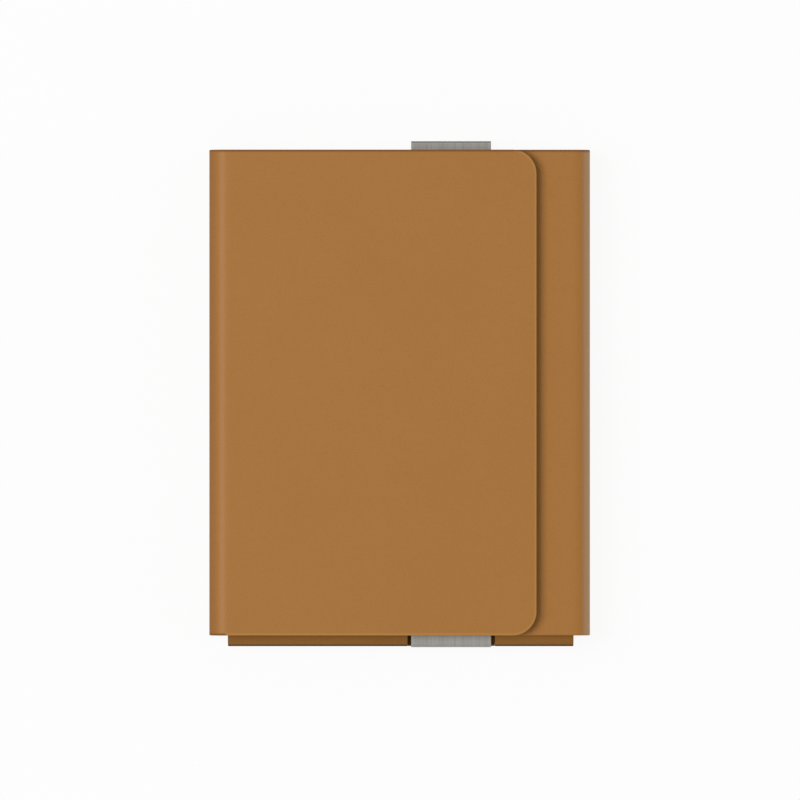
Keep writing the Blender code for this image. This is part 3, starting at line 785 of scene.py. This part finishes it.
front_run = lay_webbing("strap_front", strap_ends_y, anchor_y, strap_front_z, -rib_depth)
finish_webbing(front_run, lambda co: co.y)
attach(front_run, "front_cover")
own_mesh(front_run)
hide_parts("strap_front_run")

strap_bend = lay_webbing("strap_turn_at_bottom", strap_fold_y, strap_ends_y, strap_front_z, -rib_depth)
pick(strap_bend, "EDGE", lies_at(y=strap_fold_y))
bpy.ops.mesh.spin(steps=20, angle=-pi, center=(0, strap_fold_y, strap_front_z - strap_radius), axis=(1, 0, 0))
pull_out(y=strap_ends_y - strap_fold_y)
finish_webbing(strap_bend, along_turn)
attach(strap_bend, "strap_turn")
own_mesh(strap_bend)
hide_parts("strap_bend")

back_run = lay_webbing("strap_back", strap_ends_y, tab_foot_y, strap_back_z, rib_depth)
turn_over()
finish_webbing(back_run, lambda co: -co.y - behind_from)
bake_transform(back_run)
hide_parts("strap_back_run")

# the free end is folded over on itself, so that it is thick enough to grip; the soft fold bulges
# 0.2 mm past its solid, as the photograph shows
tab_top_y = 0.0508
tab_radius = 0.00065
tab_seam_z = 0.0032
fold_shade_wide = 0.0002
pull_tab = lay_webbing("pull_tab_folded", tab_foot_y, tab_top_y - tab_radius, strap_back_z, rib_depth)
turn_over()
pick(pull_tab, "EDGE", lies_at(y=tab_top_y - tab_radius))
bpy.ops.mesh.spin(steps=12, angle=-pi, center=(0, tab_top_y - tab_radius, strap_back_z + tab_radius),
                  axis=(1, 0, 0))
pull_out(y=tab_foot_y - tab_top_y + tab_radius)
finish_webbing(pull_tab, lambda co: -co.y - behind_from if co.z < tab_seam_z else co.y)
# painted shade along the fold's crest
mark(pull_tab, "painted_fold_shade",
     lambda co: max(0.0, min(1.0, 1 - (tab_top_y - fold_shade_wide - co.y) / fold_shade_wide)))
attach(pull_tab, "pull_tab")
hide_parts("pull_tab")


# Bar tacks of the strap
# A close zigzag of grey polyester thread, 12 mm wide: one bar sews the strap's front end to the
# pocket, the other closes the pull tab's fold.

tack_left = 0.0043
tack_right = 0.0163
stitch_pitch = 0.0003
stitch_high = 0.0012
stitch_dip = 0.00026
thread_radius = 0.00013
anchor_tack_y = 0.0438
anchor_tack_z = 0.00748
tab_tack_y = 0.0456
tab_tack_z = 0.00400

grey_thread, tree, shader = new_material("grey_polyester_thread_twisted")
place = add_node(tree, "ShaderNodeTexCoord", {}).outputs["Object"]
# a satin grey whose plies catch the light in turn; their twist repeats every 0.35 mm along one axis
twist = add_node(tree, "ShaderNodeTexWave", {"bands_direction": "DIAGONAL", "Scale": 1800, "Distortion": 0.8},
                 {"Vector": place})
plies = add_node(tree, "ShaderNodeMix", {"data_type": "RGBA", 6: colour("#838585"), 7: colour("#A0A1A0")},
                 {0: twist.outputs["Fac"]})
relief = add_node(tree, "ShaderNodeBump", {"Strength": 0.5, "Distance": 0.00003},
                  {"Height": twist.outputs["Fac"]})
tree.links.new(plies.outputs[2], shader.inputs["Base Color"])
tree.links.new(relief.outputs["Normal"], shader.inputs["Normal"])
shader.inputs["Roughness"].default_value = 0.45
shader.inputs["Sheen Weight"].default_value = 0.2

for name, body, node, low_y, thread_z, dip_z in (
        ("anchor_stitches", "front_cover", "strap_anchor_tack", anchor_tack_y, anchor_tack_z, stitch_dip),
        ("tab_stitches", "pull_tab", "pull_tab_tack", tab_tack_y, tab_tack_z, -stitch_dip)):
    put_all_down()
    start = (tack_left + stitch_pitch / 2, low_y + stitch_high / 2, thread_z)
    bpy.ops.mesh.primitive_cylinder_add(vertices=10, radius=thread_radius, depth=stitch_high, location=start,
                                        rotation=(pi / 2, 0, 0))
    stitches = settle(name)
    # each stitch bends down into the webbing at both ends, and leans over to the next needle hole
    for share in (0.25, 0.75):
        cut_across(stitches, y=low_y + stitch_high * share)
    pick(stitches, "VERT", lambda vert: abs(vert.co.y - (low_y + stitch_high / 2)) > stitch_high * 0.4)
    bpy.ops.transform.translate(value=(0, 0, dip_z))
    for share, way in ((0.25, -1), (0.75, 1)):
        pick(stitches, "VERT", lambda vert: abs(vert.co.y - low_y - stitch_high * share) < stitch_high * 0.05)
        bpy.ops.transform.translate(value=(way * stitch_pitch / 4, 0, 0))
        pick(stitches, "VERT", lambda vert: way * (vert.co.y - start[1]) > stitch_high * 0.4)
        bpy.ops.transform.translate(value=(way * stitch_pitch / 2, 0, 0))
    # the way back is the same stitch mirrored beside it, and the pair repeats along the bar
    pick(stitches, "FACE", lambda face: True)
    bpy.ops.mesh.duplicate_move(TRANSFORM_OT_translate={"value": (stitch_pitch, 0, 0)})
    bpy.ops.transform.resize(value=(-1, 1, 1), center_override=(start[0] + stitch_pitch, start[1], start[2]))
    bpy.ops.mesh.select_all(action="SELECT")
    bpy.ops.mesh.normals_make_consistent(inside=False)
    bpy.ops.object.mode_set(mode="OBJECT")
    pairs = stitches.modifiers.new("pairs", "ARRAY")
    pairs.count = round((tack_right - tack_left) / (2 * stitch_pitch))
    pairs.use_relative_offset = False
    pairs.use_constant_offset = True
    pairs.constant_offset_displace = (2 * stitch_pitch, 0, 0)
    bpy.ops.object.modifier_apply(modifier=pairs.name)
    smooth(stitches, 50)
    stitches.data.materials.append(grey_thread)
    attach(stitches, body)
    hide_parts(node)


# The studio
# A white floor that keeps the shadow, one broad soft lamp to the left of the camera, a weak one low
# at the right, even light from all round, and a camera straight above, as the photograph was taken.

floor_wide = 6
floor_z = -0.00003
floor_white = 0.93
air_light = 0.38


def seen_directly(tree):
    """1 where a ray comes from the camera, a reflection or clear glass, and 0 where it lights a surface."""
    seen = add_node(tree, "ShaderNodeLightPath", {})
    glare = add_node(tree, "ShaderNodeMath", {"operation": "MAXIMUM"},
                     {0: seen.outputs["Is Camera Ray"], 1: seen.outputs["Is Glossy Ray"]})
    clear = add_node(tree, "ShaderNodeMath", {"operation": "MAXIMUM"},
                     {0: glare.outputs[0], 1: seen.outputs["Is Transmission Ray"]})
    return clear.outputs[0]


put_all_down()
bpy.ops.mesh.primitive_plane_add(size=floor_wide, location=(0, 0, floor_z))
floor = bpy.context.object
floor.name = "studio_floor"
# matt paper, which looks white to the camera and still shows the wallet's shadow
paper, tree, shader = new_material("white_paper_backdrop")
shader.inputs["Base Color"].default_value = colour("#E8E8E8")
shader.inputs["Roughness"].default_value = 0.9
share = add_node(tree, "ShaderNodeMath", {"operation": "MULTIPLY", 1: floor_white}, {0: seen_directly(tree)})
white = add_node(tree, "ShaderNodeEmission", {"Color": (1, 1, 1, 1), "Strength": 1.0})
mixed = add_node(tree, "ShaderNodeMixShader", {},
                 {0: share.outputs[0], 1: shader.outputs[0], 2: white.outputs[0]})
tree.links.new(mixed.outputs[0], tree.nodes["Material Output"].inputs["Surface"])
floor.data.materials.append(paper)

# the air looks white to the camera and lights the wallet with less than that
world = bpy.data.worlds.new("studio_air")
bpy.context.scene.world = world
world.use_nodes = True
tree = world.node_tree
level = add_node(tree, "ShaderNodeMapRange", {1: 0.0, 2: 1.0, 3: air_light, 4: 1.0},
                 {0: seen_directly(tree)})
tree.nodes["Background"].inputs["Color"].default_value = (1, 1, 1, 1)
tree.links.new(level.outputs[0], tree.nodes["Background"].inputs["Strength"])


def hang_softbox(name, place, width, watts):
    """A square softbox that faces the wallet."""
    bpy.ops.object.light_add(type="AREA", location=place)
    lamp = bpy.context.object
    lamp.name = name
    lamp.data.shape = "SQUARE"
    lamp.data.size = width
    lamp.data.energy = watts
    lamp.rotation_euler = (-Vector(place)).to_track_quat("-Z", "Y").to_euler()
    lamp.visible_camera = False


hang_softbox("left_softbox", (-0.99, 0.135, 1.50), 1.10, 21.4)
hang_softbox("low_right_softbox", (1.2, 0.0, 0.42), 0.80, 2.8)

# 4 m above the flap, where a very long lens gives 0.2 mm to the pixel
bpy.ops.object.camera_add(location=(0.00006, -0.00108, 4.0124), rotation=(0, 0, 0))
camera = bpy.context.object
camera.name = "photo_camera"
camera.data.sensor_width = 36
camera.data.lens = 900
camera.data.clip_end = 20
bpy.context.scene.camera = camera
bpy.context.scene.view_settings.view_transform = "Standard"
